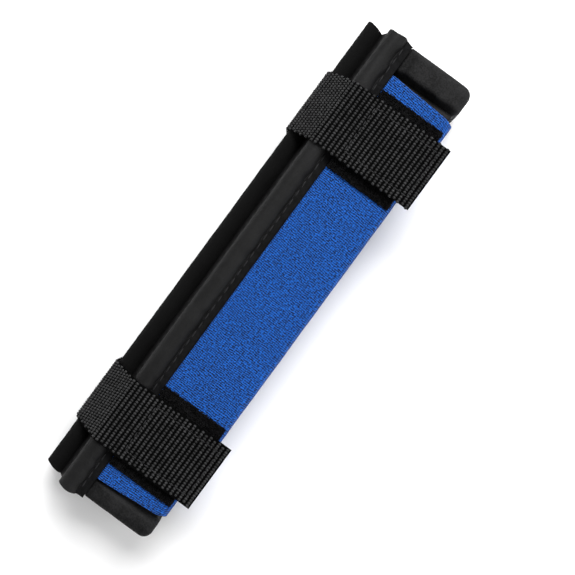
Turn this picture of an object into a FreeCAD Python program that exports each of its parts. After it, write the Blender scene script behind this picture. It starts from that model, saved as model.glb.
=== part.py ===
"""Clamp-on weight for a golf club's shaft, as a parametric document in millimetres.

Two foam pads wrapped in neoprene close like a book round the shaft. A flap with two
steel rods in sewn sleeves covers their open side, and two webbing straps with
hook-and-loop ends hold it all shut.

X points right across the wrap, Y runs along the shaft and Z points up out of the front.
The origin is below the middle, where the straps' backs lie on a surface.
"""
import FreeCAD, Part
import math
import os

import Sketcher

SIZES = [
    # alias, millimetres or degrees, meaning
    ("webbing_width", 25.0, "standard one-inch webbing"),
    ("webbing_thickness", 1.4, "ribbed polyester webbing"),
    ("strap_end_x", 25.45, "cut ends of the straps, and as far out on the left"),
    ("strap_back_right_x", 14.0, "where the straps are sewn to the back"),
    ("upper_strap_y", 60.6, "middle of the upper strap"),
    ("lower_strap_y", -64.0, "middle of the lower strap"),
    ("loop_length", 32.4, "loop patch along the wrap"),
    ("loop_thickness", 1.1, "loop patch"),
    ("loop_left_x", -4.9, "loop patch, left edge"),
    ("loop_right_x", 18.6, "loop patch, right edge"),
    ("hook_width", 20.0, "hook tab across the strap"),
    ("hook_thickness", 1.2, "hook tab"),
    ("hook_left_x", -4.2, "hook tab, left edge"),
    ("hook_right_x", 23.4, "hook tab, right edge"),
    ("closure_gap", 0.1, "between closed hooks and loops"),
    ("neoprene_thickness", 2.1, "neoprene with knit faces"),
    ("neoprene_left_x", -5.6, "front panel's free edge"),
    ("neoprene_top_y", 83.0, "upper end of the neoprene"),
    ("neoprene_bottom_y", -87.2, "lower end of the neoprene"),
    ("neoprene_bend", 0.5, "inner radius of the neoprene's folds"),
    ("core_length", 190.0, "foam pads, end to end"),
    ("core_left_x", -22.8, "rear pad's left side"),
    ("core_right_x", 19.0, "both pads' right side"),
    ("recess_face_z", 23.95, "front of the pads between the end blocks"),
    ("front_pad_left_x", -6.1, "front pad's left side"),
    ("upper_block_length", 9.5, "raised block at the upper end"),
    ("lower_block_length", 7.7, "raised block at the lower end"),
    ("block_raise", 1.65, "blocks above the recess, front and back"),
    ("block_side_raise", 1.4, "blocks past the recess, right side"),
    ("block_flat_left_x", -2.0, "left end of a block's flat face"),
    ("block_foot_left_x", -4.7, "foot of a block's left slope"),
    ("block_round", 3.5, "rounding of the blocks' corners"),
    ("shoulder_round", 3.0, "rounding of the blocks' long edges"),
    ("split_z", 14.0, "plane between the pads, through the shaft's axis"),
    ("split_gap", 0.1, "each pad's distance from that plane"),
    ("shaft_x", 7.2, "axis of the shaft"),
    ("shaft_radius", 6.0, "bore that grips the shaft"),
    ("liner_thickness", 1.2, "rubber grip liner"),
    ("liner_length", 186.0, "grip liner"),
    ("liner_arc", 178.0, "each liner's share of the circle, in degrees"),
    ("tube_radius", 3.5, "outside of a sewn sleeve"),
    ("sleeve_wall", 0.45, "coated fabric"),
    ("strap_gap", 0.05, "between the sleeves and the straps"),
    ("tube_spacing_x", 8.3, "inner tube right of the outer one"),
    ("tube_drop", 10.0, "outer tube below the inner one"),
    ("web_angle", 60.0, "slope of the web below the outer tube, in degrees"),
    ("panel_length", 191.4, "flap along the wrap"),
    ("panel_foot_z", 3.8, "lower edge of the flap"),
    ("seam_right_x", -5.8, "flap's sewn free edge"),
    ("rod_radius", 3.0, "steel rod"),
    ("rod_length", 184.0, "steel rod"),
    ("rod_chamfer", 0.5, "steel rod's ends"),
    ("plug_length", 2.6, "rubber plug in a sleeve's end"),
    ("plug_round", 0.6, "plug's outer rim"),
    ("seat_gap", 0.35, "between the rear pad and the sleeves"),
    ("riser_gap", 0.4, "between the rear pad's riser and the front pad"),
    ("riser_slope_x", 2.4, "cut-back of the riser, across"),
    ("riser_slope_z", 2.9, "cut-back of the riser, down"),
    ("ledge_slope_x", 1.4, "cut-back of the ledge, across"),
    ("ledge_slope_z", 2.2, "cut-back of the ledge, down"),
    ("foam_round", 1.0, "rounding of the foam's long edges"),
    ("fold_x", -23.5, "middle of the flap's fold"),
    ("fold_z", 1.95, "middle of the flap's fold"),
    ("fold_gap", 0.1, "strap's back, clear of the fold"),
]

# Places that follow from the sizes, as expressions for setExpression.
HALF_CORE = "Sizes.core_length / 2"
UPPER_RECESS_Y = f"({HALF_CORE} - Sizes.upper_block_length)"
LOWER_RECESS_Y = f"({HALF_CORE} - Sizes.lower_block_length)"
PAD_BOTTOM_Z = "(Sizes.webbing_thickness + Sizes.neoprene_thickness)"
NEOPRENE_RIGHT_X = "(Sizes.core_right_x + Sizes.neoprene_thickness)"
NEOPRENE_FRONT_Z = "(Sizes.recess_face_z + Sizes.neoprene_thickness)"
NEOPRENE_LENGTH = "(Sizes.neoprene_top_y - Sizes.neoprene_bottom_y)"
LOOP_FRONT_Z = f"({NEOPRENE_FRONT_Z} + Sizes.loop_thickness)"
HOOK_BACK_Z = f"({LOOP_FRONT_Z} + Sizes.closure_gap)"
STRAP_FRONT_Z = f"({HOOK_BACK_Z} + Sizes.hook_thickness)"
BLOCK_FRONT_Z = "(Sizes.recess_face_z + Sizes.block_raise)"
BLOCK_BACK_Z = f"({PAD_BOTTOM_Z} - Sizes.block_raise)"
BLOCK_RIGHT_X = "(Sizes.core_right_x + Sizes.block_side_raise)"
FRONT_SPLIT_Z = "(Sizes.split_z + Sizes.split_gap)"
REAR_SPLIT_Z = "(Sizes.split_z - Sizes.split_gap)"
STRAP_INNER_X = "(Sizes.webbing_thickness - Sizes.strap_end_x)"
STRAP_ROUND = "(Sizes.tube_radius + Sizes.strap_gap)"
ROD_SPACE = "(Sizes.tube_radius - Sizes.sleeve_wall)"
OUTER_TUBE_X = f"({STRAP_INNER_X} + {STRAP_ROUND})"
INNER_TUBE_X = f"({OUTER_TUBE_X} + Sizes.tube_spacing_x)"
INNER_TUBE_Z = f"({STRAP_FRONT_Z} - {STRAP_ROUND})"
OUTER_TUBE_Z = f"({INNER_TUBE_Z} - Sizes.tube_drop)"
PANEL_X = f"({OUTER_TUBE_X} - {ROD_SPACE})"
SEAT = "(Sizes.tube_radius + Sizes.seat_gap)"
LEDGE_Z = f"({OUTER_TUBE_Z} - {SEAT})"
RISER_LEFT_X = f"({OUTER_TUBE_X} + {SEAT})"
RISER_RIGHT_X = "(Sizes.front_pad_left_x - Sizes.riser_gap)"
RISER_Z = f"({INNER_TUBE_Z} - {SEAT})"
TUBES = {
    "outer": (OUTER_TUBE_X, OUTER_TUBE_Z),
    "inner": (INNER_TUBE_X, INNER_TUBE_Z),
}
STRAPS = ("upper", "lower")

# How far, in millimetres, an edge may be out of line and still be the one looked for.
FLAT = 0.01
NEAR = 0.02

doc = FreeCAD.newDocument("ShaftWeight")
parts = []


def make_sheet():
    """Put the driving sizes in the sheet, one row each."""
    sheet = doc.addObject("Spreadsheet::Sheet", "Sizes")
    for row, (alias, value, meaning) in enumerate(SIZES, start=1):
        sheet.set(f"A{row}", alias)
        sheet.set(f"B{row}", str(value))
        sheet.setAlias(f"B{row}", alias)
        sheet.set(f"C{row}", meaning)
    doc.recompute()
    return sheet


sizes = make_sheet()


def value(expression):
    """The present value of an expression on the sheet."""
    return float(sizes.evalExpression(expression))


def keep(node, feature):
    """Label a finished sub-part and put it on the list to write."""
    feature.Label = node
    parts.append(feature)
    return feature


# ---------------------------------------------------------------- sketches

def cross_sketch(body, name, along_y="0"):
    """A sketch across the wrap: its first axis is X, its second Z, at a place along Y."""
    sketch = body.newObject("Sketcher::SketchObject", name)
    plane = next(f for f in body.Origin.OriginFeatures if f.Role == "XZ_Plane")
    sketch.AttachmentSupport = [(plane, "")]
    sketch.MapMode = "FlatFace"
    sketch.setExpression("AttachmentOffset.Base.z", f"-({along_y})")
    return sketch


def fix(sketch, geometry, point, across, up):
    """Tie one point of a sketch to two expressions."""
    for kind, expression in (("DistanceX", across), ("DistanceY", up)):
        start = value(expression)
        index = sketch.addConstraint(Sketcher.Constraint(kind, -1, 1, geometry, point, start))
        sketch.setExpression(f"Constraints[{index}]", expression)


def draw_outline(sketch, corners):
    """A closed outline of straight lines, with every corner tied to the sheet."""
    places = [FreeCAD.Vector(value(x), value(z), 0) for x, z in corners]
    for start, end in zip(places, places[1:] + places[:1]):
        sketch.addGeometry(Part.LineSegment(start, end), False)
    for line, (x, z) in enumerate(corners):
        following = (line + 1) % len(corners)
        sketch.addConstraint(Sketcher.Constraint("Coincident", line, 2, following, 1))
        fix(sketch, line, 1, x, z)


def draw_circle(sketch, x, z, radius):
    """A circle whose centre and radius are tied to the sheet."""
    centre = FreeCAD.Vector(value(x), value(z), 0)
    circle = Part.Circle(centre, FreeCAD.Vector(0, 0, 1), value(radius))
    line = sketch.addGeometry(circle, False)
    fix(sketch, line, 3, x, z)
    index = sketch.addConstraint(Sketcher.Constraint("Radius", line, value(radius)))
    sketch.setExpression(f"Constraints[{index}]", radius)


# ---------------------------------------------------------------- features

def new_body(node):
    return keep(node, doc.addObject("PartDesign::Body", node.title().replace("_", "")))


def pad(body, sketch, length, symmetric=False):
    """Pad a sketch towards -Y, or both ways from its plane."""
    feature = body.newObject("PartDesign::Pad", f"{sketch.Name}Pad")
    feature.Profile = sketch
    if symmetric:
        feature.SideType = "Symmetric"
    feature.setExpression("Length", length)
    sketch.Visibility = False
    doc.recompute()
    return feature


def cut_through(body, sketch):
    """Cut a sketch through the whole body, both ways, and make sure that it cuts."""
    before = body.Shape.Volume
    feature = body.newObject("PartDesign::Pocket", f"{sketch.Name}Cut")
    feature.Profile = sketch
    feature.SideType = "Symmetric"
    feature.setExpression("Length", "2 * Sizes.core_length")
    doc.recompute()
    if body.Shape.Volume > before - 1:
        raise RuntimeError(f"{feature.Name} cuts nothing")
    return feature


def edges_where(shape, test):
    """Names of the edges whose middle passes a test."""
    names = []
    for number, edge in enumerate(shape.Edges, start=1):
        middle = edge.valueAt((edge.FirstParameter + edge.LastParameter) / 2)
        if test(edge, middle):
            names.append(f"Edge{number}")
    return names


def lengthwise_edges(shape, corners):
    """Names of the straight edges along Y that run through any of the corners."""
    places = [(value(x), value(z)) for x, z in corners]

    def test(edge, middle):
        size = edge.BoundBox
        if size.XLength > FLAT or size.ZLength > FLAT:
            return False
        return any(abs(middle.x - x) < NEAR and abs(middle.z - z) < NEAR for x, z in places)

    return edges_where(shape, test)


def dress(body, kind, name, edges, size):
    """Fillet or chamfer the named edges of the body's last feature."""
    if not edges:
        raise RuntimeError(f"{name} finds no edge")
    last = body.Tip
    feature = body.newObject(f"PartDesign::{kind}", name)
    feature.Base = (last, edges)
    feature.setExpression("Radius" if kind == "Fillet" else "Size", size)
    doc.recompute()
    return feature


def round_long_edges(body, name, corners, radius):
    return dress(body, "Fillet", name, lengthwise_edges(body.Shape, corners), radius)


def box(node, size, place):
    """A plain block with its size and its lowest corner tied to the sheet."""
    feature = doc.addObject("Part::Box", node.title().replace("_", ""))
    for name, expression in zip(("Length", "Width", "Height"), size):
        feature.setExpression(name, expression)
    for axis, expression in zip("xyz", place):
        feature.setExpression(f"Placement.Base.{axis}", expression)
    return keep(node, feature)


# ---------------------------------------------------------------- foam core

def add_end_blocks(body, corners):
    """Raise a block on the pad at each end, with the recess between them."""
    upper = cross_sketch(body, f"{body.Name}UpperBlock", HALF_CORE)
    draw_outline(upper, corners)
    pad(body, upper, "Sizes.upper_block_length")
    lower = cross_sketch(body, f"{body.Name}LowerBlock", f"-{LOWER_RECESS_Y}")
    draw_outline(lower, corners)
    pad(body, lower, "Sizes.lower_block_length")


def cut_shaft_groove(body):
    sketch = cross_sketch(body, f"{body.Name}Groove")
    draw_circle(sketch, "Sizes.shaft_x", "Sizes.split_z", "Sizes.shaft_radius + Sizes.liner_thickness")
    cut_through(body, sketch)


def round_block_corners(body, name):
    """Round the right-hand corners of the end blocks, seen from the front."""
    right = value(BLOCK_RIGHT_X)
    end = value(HALF_CORE)

    def test(edge, middle):
        upright = edge.BoundBox.XLength < FLAT and edge.BoundBox.YLength < FLAT
        return upright and abs(middle.x - right) < NEAR and abs(abs(middle.y) - end) < NEAR

    dress(body, "Fillet", name, edges_where(body.Shape, test), "Sizes.block_round")


def make_front_pad():
    body = new_body("front_pad")
    middle = cross_sketch(body, "FrontPadMiddle")
    draw_outline(middle, [
        ("Sizes.front_pad_left_x", FRONT_SPLIT_Z),
        ("Sizes.core_right_x", FRONT_SPLIT_Z),
        ("Sizes.core_right_x", "Sizes.recess_face_z"),
        ("Sizes.front_pad_left_x", "Sizes.recess_face_z"),
    ])
    pad(body, middle, "Sizes.core_length", symmetric=True)
    add_end_blocks(body, [
        ("Sizes.shaft_x", FRONT_SPLIT_Z),
        (BLOCK_RIGHT_X, FRONT_SPLIT_Z),
        (BLOCK_RIGHT_X, BLOCK_FRONT_Z),
        ("Sizes.block_flat_left_x", BLOCK_FRONT_Z),
        ("Sizes.block_foot_left_x", "Sizes.recess_face_z"),
        ("Sizes.shaft_x", "Sizes.recess_face_z"),
    ])
    cut_shaft_groove(body)
    round_block_corners(body, "FrontBlockCorners")
    round_long_edges(body, "FrontBlockShoulders", [(BLOCK_RIGHT_X, BLOCK_FRONT_Z)], "Sizes.shoulder_round")
    round_long_edges(body, "FrontPadFold", [("Sizes.core_right_x", "Sizes.recess_face_z")],
                     "Sizes.neoprene_bend")


def make_rear_pad():
    body = new_body("rear_pad")
    ledge_foot = f"({LEDGE_Z} - Sizes.ledge_slope_z)"
    ledge_start = "(Sizes.core_left_x + Sizes.ledge_slope_x)"
    riser_foot = f"({RISER_Z} - Sizes.riser_slope_z)"
    riser_start = f"({RISER_LEFT_X} + Sizes.riser_slope_x)"
    middle = cross_sketch(body, "RearPadMiddle")
    draw_outline(middle, [
        ("Sizes.core_left_x", PAD_BOTTOM_Z),
        ("Sizes.core_right_x", PAD_BOTTOM_Z),
        ("Sizes.core_right_x", REAR_SPLIT_Z),
        (RISER_RIGHT_X, REAR_SPLIT_Z),
        (RISER_RIGHT_X, RISER_Z),
        (riser_start, RISER_Z),
        (RISER_LEFT_X, riser_foot),
        (RISER_LEFT_X, LEDGE_Z),
        (ledge_start, LEDGE_Z),
        ("Sizes.core_left_x", ledge_foot),
    ])
    pad(body, middle, "Sizes.core_length", symmetric=True)
    add_end_blocks(body, [
        ("Sizes.block_foot_left_x", PAD_BOTTOM_Z),
        ("Sizes.block_flat_left_x", BLOCK_BACK_Z),
        (BLOCK_RIGHT_X, BLOCK_BACK_Z),
        (BLOCK_RIGHT_X, REAR_SPLIT_Z),
        ("Sizes.shaft_x", REAR_SPLIT_Z),
        ("Sizes.shaft_x", PAD_BOTTOM_Z),
    ])
    cut_shaft_groove(body)
    round_block_corners(body, "RearBlockCorners")
    round_long_edges(body, "RearBlockShoulders", [(BLOCK_RIGHT_X, BLOCK_BACK_Z)], "Sizes.shoulder_round")
    round_long_edges(body, "RearPadFold", [("Sizes.core_right_x", PAD_BOTTOM_Z)], "Sizes.neoprene_bend")
    round_long_edges(body, "RearPadEdges", [
        ("Sizes.core_left_x", PAD_BOTTOM_Z),
        ("Sizes.core_left_x", ledge_foot),
        (ledge_start, LEDGE_Z),
        (RISER_LEFT_X, riser_foot),
        (riser_start, RISER_Z),
        (RISER_RIGHT_X, RISER_Z),
    ], "Sizes.foam_round")


def make_grip_liner(side, middle_angle):
    """Half a rubber tube, centred on middle_angle and a little short of its half circle."""
    first_angle = middle_angle - value("Sizes.liner_arc") / 2
    wall = []
    for name, radius in (("Outside", "Sizes.shaft_radius + Sizes.liner_thickness"),
                         ("Inside", "Sizes.shaft_radius")):
        cylinder = doc.addObject("Part::Cylinder", f"{side.title()}Liner{name}")
        cylinder.setExpression("Radius", radius)
        cylinder.setExpression("Height", "Sizes.liner_length")
        cylinder.setExpression("Angle", "Sizes.liner_arc" if name == "Outside" else "360")
        # The cylinder's own axis turns from +Z to -Y, so that its angles run from +X to +Z.
        upright = FreeCAD.Rotation(FreeCAD.Vector(1, 0, 0), 90)
        turn = FreeCAD.Rotation(FreeCAD.Vector(0, 0, 1), first_angle)
        cylinder.Placement = FreeCAD.Placement(FreeCAD.Vector(), upright * turn)
        cylinder.setExpression("Placement.Base.x", "Sizes.shaft_x")
        cylinder.setExpression("Placement.Base.y", "Sizes.liner_length / 2")
        cylinder.setExpression("Placement.Base.z", "Sizes.split_z")
        wall.append(cylinder)
    liner = doc.addObject("Part::Cut", f"{side.title()}GripLiner")
    liner.Base, liner.Tool = wall
    keep(f"{side}_grip_liner", liner)


# ---------------------------------------------------------------- neoprene

def make_neoprene(node, corners, outer_fold, inner_fold):
    """An L-shaped run of neoprene between its two ends, with its fold rounded."""
    body = new_body(node)
    sketch = cross_sketch(body, f"{body.Name}Section", "Sizes.neoprene_top_y")
    draw_outline(sketch, corners)
    pad(body, sketch, NEOPRENE_LENGTH)
    round_long_edges(body, f"{body.Name}Fold", [outer_fold], "Sizes.neoprene_bend + Sizes.neoprene_thickness")
    round_long_edges(body, f"{body.Name}InnerFold", [inner_fold], "Sizes.neoprene_bend")


def make_neoprene_front():
    outer_fold = (NEOPRENE_RIGHT_X, NEOPRENE_FRONT_Z)
    inner_fold = ("Sizes.core_right_x", "Sizes.recess_face_z")
    make_neoprene("neoprene_front", [
        ("Sizes.neoprene_left_x", "Sizes.recess_face_z"),
        inner_fold,
        ("Sizes.core_right_x", FRONT_SPLIT_Z),
        (NEOPRENE_RIGHT_X, FRONT_SPLIT_Z),
        outer_fold,
        ("Sizes.neoprene_left_x", NEOPRENE_FRONT_Z),
    ], outer_fold, inner_fold)


def make_neoprene_back():
    outer_fold = (NEOPRENE_RIGHT_X, "Sizes.webbing_thickness")
    inner_fold = ("Sizes.core_right_x", PAD_BOTTOM_Z)
    make_neoprene("neoprene_back", [
        ("Sizes.core_left_x", "Sizes.webbing_thickness"),
        outer_fold,
        (NEOPRENE_RIGHT_X, REAR_SPLIT_Z),
        ("Sizes.core_right_x", REAR_SPLIT_Z),
        inner_fold,
        ("Sizes.core_left_x", PAD_BOTTOM_Z),
    ], outer_fold, inner_fold)


# ---------------------------------------------------------------- curved sheets

def at(x, z):
    return FreeCAD.Vector(x, 0, z)


def on_circle(centre, radius, degrees):
    angle = math.radians(degrees)
    return centre + at(radius * math.cos(angle), radius * math.sin(angle))


def arc(centre, radius, first, last):
    """An arc across the wrap between two angles in degrees; falling angles run clockwise."""
    middle = (first + last) / 2
    ends = [on_circle(centre, radius, degrees) for degrees in (first, middle, last)]
    return Part.Arc(*ends).toShape()


def line(start, end):
    return Part.LineSegment(start, end).toShape()


def bent_sheet(node, path, thickness, middle_y, width):
    """Thicken a path to one side and draw it out along Y."""
    section = Part.Wire(path).makeOffset2D(thickness, fill=True, openResult=True, intersection=True)
    solid = section.extrude(FreeCAD.Vector(0, width, 0))
    feature = doc.addObject("Part::Feature", node.title().replace("_", ""))
    feature.Shape = solid.Solids[0] if solid.Solids else solid
    feature.Placement = FreeCAD.Placement(FreeCAD.Vector(0, middle_y - width / 2, 0), FreeCAD.Rotation())
    return keep(node, feature)


def tube_centres():
    return [at(value(x), value(z)) for x, z in TUBES.values()]


def web_slope():
    """Angle of the web between the two tubes, in degrees."""
    outer, inner = tube_centres()
    return math.degrees(math.atan2(inner.z - outer.z, inner.x - outer.x))


def make_flap_layer(node, outward):
    """One of the two layers of coated fabric that are sewn together round the rods.

    Both follow the same path, up the left side, along the webs and out to the free
    edge. They part at each rod: the cover passes it on the outside, the lining inside.
    """
    outer, inner = tube_centres()
    radius = value(ROD_SPACE)
    slope = web_slope()
    foot_slope = value("Sizes.web_angle")
    panel_x = value(PANEL_X)
    # Angles at which the path meets and leaves each rod's sleeve.
    outer_in, outer_out = 180 + foot_slope, slope if outward else 360 + slope
    inner_in, inner_out = 180 + slope, 0 if outward else 360
    foot = at(panel_x, value("Sizes.panel_foot_z"))
    entry = on_circle(outer, radius, outer_in)
    run = (entry.x - panel_x) / math.cos(math.radians(foot_slope))
    bend = on_circle(entry, run, outer_in)
    path = [
        line(foot, bend),
        line(bend, entry),
        arc(outer, radius, outer_in, outer_out),
        line(on_circle(outer, radius, slope), on_circle(inner, radius, inner_in)),
        arc(inner, radius, inner_in, inner_out),
        line(on_circle(inner, radius, 0), at(value("Sizes.seam_right_x"), inner.z)),
    ]
    wall = value("Sizes.sleeve_wall")
    bent_sheet(node, path, wall if outward else -wall, 0, value("Sizes.panel_length"))


def make_strap_side(side):
    """Webbing from the fold, up round the outer tube and over to the inner tube's crest."""
    outer, inner = tube_centres()
    radius = value(STRAP_ROUND)
    shoulder = web_slope() + 90
    path = [
        line(at(value(STRAP_INNER_X), value("Sizes.fold_z")), on_circle(outer, radius, 180)),
        arc(outer, radius, 180, shoulder),
        line(on_circle(outer, radius, shoulder), on_circle(inner, radius, shoulder)),
        arc(inner, radius, shoulder, 90),
    ]
    bent_sheet(f"{side}_strap_side", path, value("Sizes.webbing_thickness"),
               value(f"Sizes.{side}_strap_y"), value("Sizes.webbing_width"))


# ---------------------------------------------------------------- rods and plugs

def make_rod(name, centre):
    body = new_body(f"{name}_weight_rod")
    sketch = cross_sketch(body, f"{body.Name}Section")
    draw_circle(sketch, *centre, "Sizes.rod_radius")
    pad(body, sketch, "Sizes.rod_length", symmetric=True)
    rims = edges_where(body.Shape, lambda edge, middle: edge.BoundBox.YLength < FLAT)
    dress(body, "Chamfer", f"{body.Name}Rims", rims, "Sizes.rod_chamfer")


def make_plug(name, centre, end):
    """A rubber plug that closes a sleeve, flush against the rod's end."""
    body = new_body(f"{name}_rod_{end}_plug")
    rod_end = "Sizes.rod_length / 2"
    start = f"{rod_end} + Sizes.plug_length" if end == "upper" else f"-({rod_end})"
    sketch = cross_sketch(body, f"{body.Name}Section", start)
    draw_circle(sketch, *centre, "Sizes.rod_radius")
    pad(body, sketch, "Sizes.plug_length")
    rim_y = value(f"{rod_end} + Sizes.plug_length")
    rims = edges_where(body.Shape, lambda edge, middle: abs(abs(middle.y) - rim_y) < FLAT
                       and edge.BoundBox.YLength < FLAT)
    dress(body, "Fillet", f"{body.Name}Rim", rims, "Sizes.plug_round")


# ---------------------------------------------------------------- straps

def make_strap(side):
    """The flat stretches of one strap, with its hook tab and the loop patch it grips."""
    middle = f"Sizes.{side}_strap_y"
    strap_y = f"{middle} - Sizes.webbing_width / 2"
    back_left = "(Sizes.fold_x + Sizes.fold_gap)"
    box(f"{side}_strap_back",
        (f"Sizes.strap_back_right_x - {back_left}", "Sizes.webbing_width", "Sizes.webbing_thickness"),
        (back_left, strap_y, "0"))
    box(f"{side}_strap_front",
        (f"Sizes.strap_end_x - {INNER_TUBE_X}", "Sizes.webbing_width", "Sizes.webbing_thickness"),
        (INNER_TUBE_X, strap_y, STRAP_FRONT_Z))
    box(f"{side}_hook_tab",
        ("Sizes.hook_right_x - Sizes.hook_left_x", "Sizes.hook_width", "Sizes.hook_thickness"),
        ("Sizes.hook_left_x", f"{middle} - Sizes.hook_width / 2", HOOK_BACK_Z))
    box(f"{side}_loop_patch",
        ("Sizes.loop_right_x - Sizes.loop_left_x", "Sizes.loop_length", "Sizes.loop_thickness"),
        ("Sizes.loop_left_x", f"{middle} - Sizes.loop_length / 2", NEOPRENE_FRONT_Z))
    make_strap_side(side)


# ---------------------------------------------------------------- the whole

def check_document():
    """Stop if any object failed, or any sub-part isn't one or more sound solids."""
    doc.recompute()
    for feature in doc.Objects:
        if "Invalid" in feature.State or "Error" in feature.State:
            raise RuntimeError(f"{feature.Name}: {feature.State}")
    for feature in parts:
        shape = feature.Shape
        if shape.isNull() or not shape.isValid() or not shape.Solids:
            raise RuntimeError(f"{feature.Label} isn't a sound solid")


def write_parts():
    os.makedirs("parts", exist_ok=True)
    for feature in parts:
        feature.Shape.exportStep(f"parts/{feature.Label}.step")
        size = feature.Shape.BoundBox
        print(f"{feature.Label:24} {feature.Shape.Volume:9.1f} mm3"
              f"  x {size.XMin:7.2f} {size.XMax:7.2f}  y {size.YMin:7.2f} {size.YMax:7.2f}"
              f"  z {size.ZMin:6.2f} {size.ZMax:6.2f}")


def main():
    make_rear_pad()
    make_front_pad()
    make_grip_liner("front", 90)
    make_grip_liner("rear", 270)
    make_neoprene_front()
    make_neoprene_back()
    make_flap_layer("flap_cover", outward=True)
    make_flap_layer("flap_lining", outward=False)
    for name, centre in TUBES.items():
        make_rod(name, centre)
        for end in ("upper", "lower"):
            make_plug(name, centre, end)
    for side in STRAPS:
        make_strap(side)
    check_document()
    write_parts()


main()
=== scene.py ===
import math

import bpy
from bpy.props import FloatProperty, FloatVectorProperty, IntProperty, PointerProperty
from mathutils import Matrix, Vector


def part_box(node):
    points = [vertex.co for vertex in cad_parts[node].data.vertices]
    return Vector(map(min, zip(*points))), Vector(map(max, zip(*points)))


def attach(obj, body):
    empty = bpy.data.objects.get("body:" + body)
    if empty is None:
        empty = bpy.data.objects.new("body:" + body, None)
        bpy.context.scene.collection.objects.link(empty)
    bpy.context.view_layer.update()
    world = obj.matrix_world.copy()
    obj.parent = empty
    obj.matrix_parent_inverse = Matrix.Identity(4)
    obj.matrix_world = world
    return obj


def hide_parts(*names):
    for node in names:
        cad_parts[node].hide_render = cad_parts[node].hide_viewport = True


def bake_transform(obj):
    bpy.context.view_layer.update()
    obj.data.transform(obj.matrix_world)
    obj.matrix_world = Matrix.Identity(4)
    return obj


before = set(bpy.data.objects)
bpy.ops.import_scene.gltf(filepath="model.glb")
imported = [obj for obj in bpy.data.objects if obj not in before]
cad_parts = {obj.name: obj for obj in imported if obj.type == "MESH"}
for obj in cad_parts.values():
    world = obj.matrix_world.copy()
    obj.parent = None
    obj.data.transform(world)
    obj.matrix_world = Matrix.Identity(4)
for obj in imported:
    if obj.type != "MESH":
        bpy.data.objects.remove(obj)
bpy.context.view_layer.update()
MM = 0.001

bl_info = {
    "name": "Swing Trainer Weight",
    "version": (1, 0, 0),
    "blender": (4, 5, 0),
    "location": "3D View > Sidebar > Swing Trainer",
    "description": "Makes a strap-on golf club weight: foam pads, neoprene wrap, rod sleeves and straps",
    "category": "Add Mesh",
}

# Centres of the two steel rods, seen along the club, as (x, z), and where the rods end.
OUTER_ROD = (-20.5 * MM, 14.9 * MM)
INNER_ROD = (-12.2 * MM, 24.9 * MM)
ROD_END = 92.0 * MM
PLUG_RADIUS, PLUG_DEPTH = 2.98 * MM, 1.7 * MM
# Radius of the space round a rod, and the thickness of the cloth round it.
ROD_SPACE = 3.05 * MM
SLEEVE_WALL = 0.45 * MM
# The flap's side panel, and the slope of the web between the rods.
PANEL_X = -23.55 * MM
WEB_ANGLE = math.degrees(math.atan2(INNER_ROD[1] - OUTER_ROD[1], INNER_ROD[0] - OUTER_ROD[0]))
# Where the web leaves the outer rod's sleeve and enters the inner one's, in degrees.
WEB_OUT, WEB_IN = 8.0, 224.0
# The fold at the flap's foot, as (x, z).
FOLD = (-23.5 * MM, 1.95 * MM)
# The flap's free edge, where the darker strip along it begins (its colour is painted shade), and its row
# of stitches.
SEAM_RIGHT = -5.8 * MM
SEAM_STRIP_LEFT = -8.55 * MM
SEAM_STITCH_X = -8.15 * MM
FOOT_STITCH_X = -21.6 * MM
STITCHES_START, STITCHES_END = -93.0 * MM, 92.6 * MM
# The part of the pitch that one stitch covers.
STITCH_FILL = 0.74
# The grooves at the foot of the two end blocks: where they lie along the club, and how deep.
UPPER_GROOVE_Y, UPPER_GROOVE_DEPTH = 84.3 * MM, 3.0 * MM
LOWER_GROOVE_Y, LOWER_GROOVE_DEPTH = -87.0 * MM, 1.8 * MM
GROOVE_REACH = 1.6 * MM
# Only what lies above this height is pressed in.
PRESSED_ABOVE = 21.0 * MM
WEBBING_THICKNESS = 1.4 * MM
BEAD_SIZE = (1.28 * MM, 1.18 * MM, 1.38 * MM)
TAPE_THICKNESS = 0.5 * MM
# Half of what the camera sees across, at one metre from it.
VIEW_HALF_WIDTH = 0.2875
SIDES = ("upper", "lower")


# ------------------------------------------------------------------ shader nodes

class Wire:
    """A value that changes over a surface. Sums on it add Math nodes."""

    def __init__(self, finish, socket):
        self.finish = finish
        self.socket = socket

    def sum(self, operation, first, second=0.0):
        return self.finish.node("ShaderNodeMath", {"operation": operation}, {0: first, 1: second})

    def __add__(self, other):
        return self.sum("ADD", self, other)

    def __sub__(self, other):
        return self.sum("SUBTRACT", self, other)

    def __rsub__(self, other):
        return self.sum("SUBTRACT", other, self)

    def __mul__(self, other):
        return self.sum("MULTIPLY", self, other)

    __radd__ = __add__

    def sine(self):
        return self.sum("SINE", self)

    def ramp(self, low, high):
        """0 below low, 1 above high and smooth in between."""
        return self.finish.node(
            "ShaderNodeMapRange",
            {"interpolation_type": "SMOOTHSTEP"},
            {"Value": self, "From Min": low, "From Max": high},
        )


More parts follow.
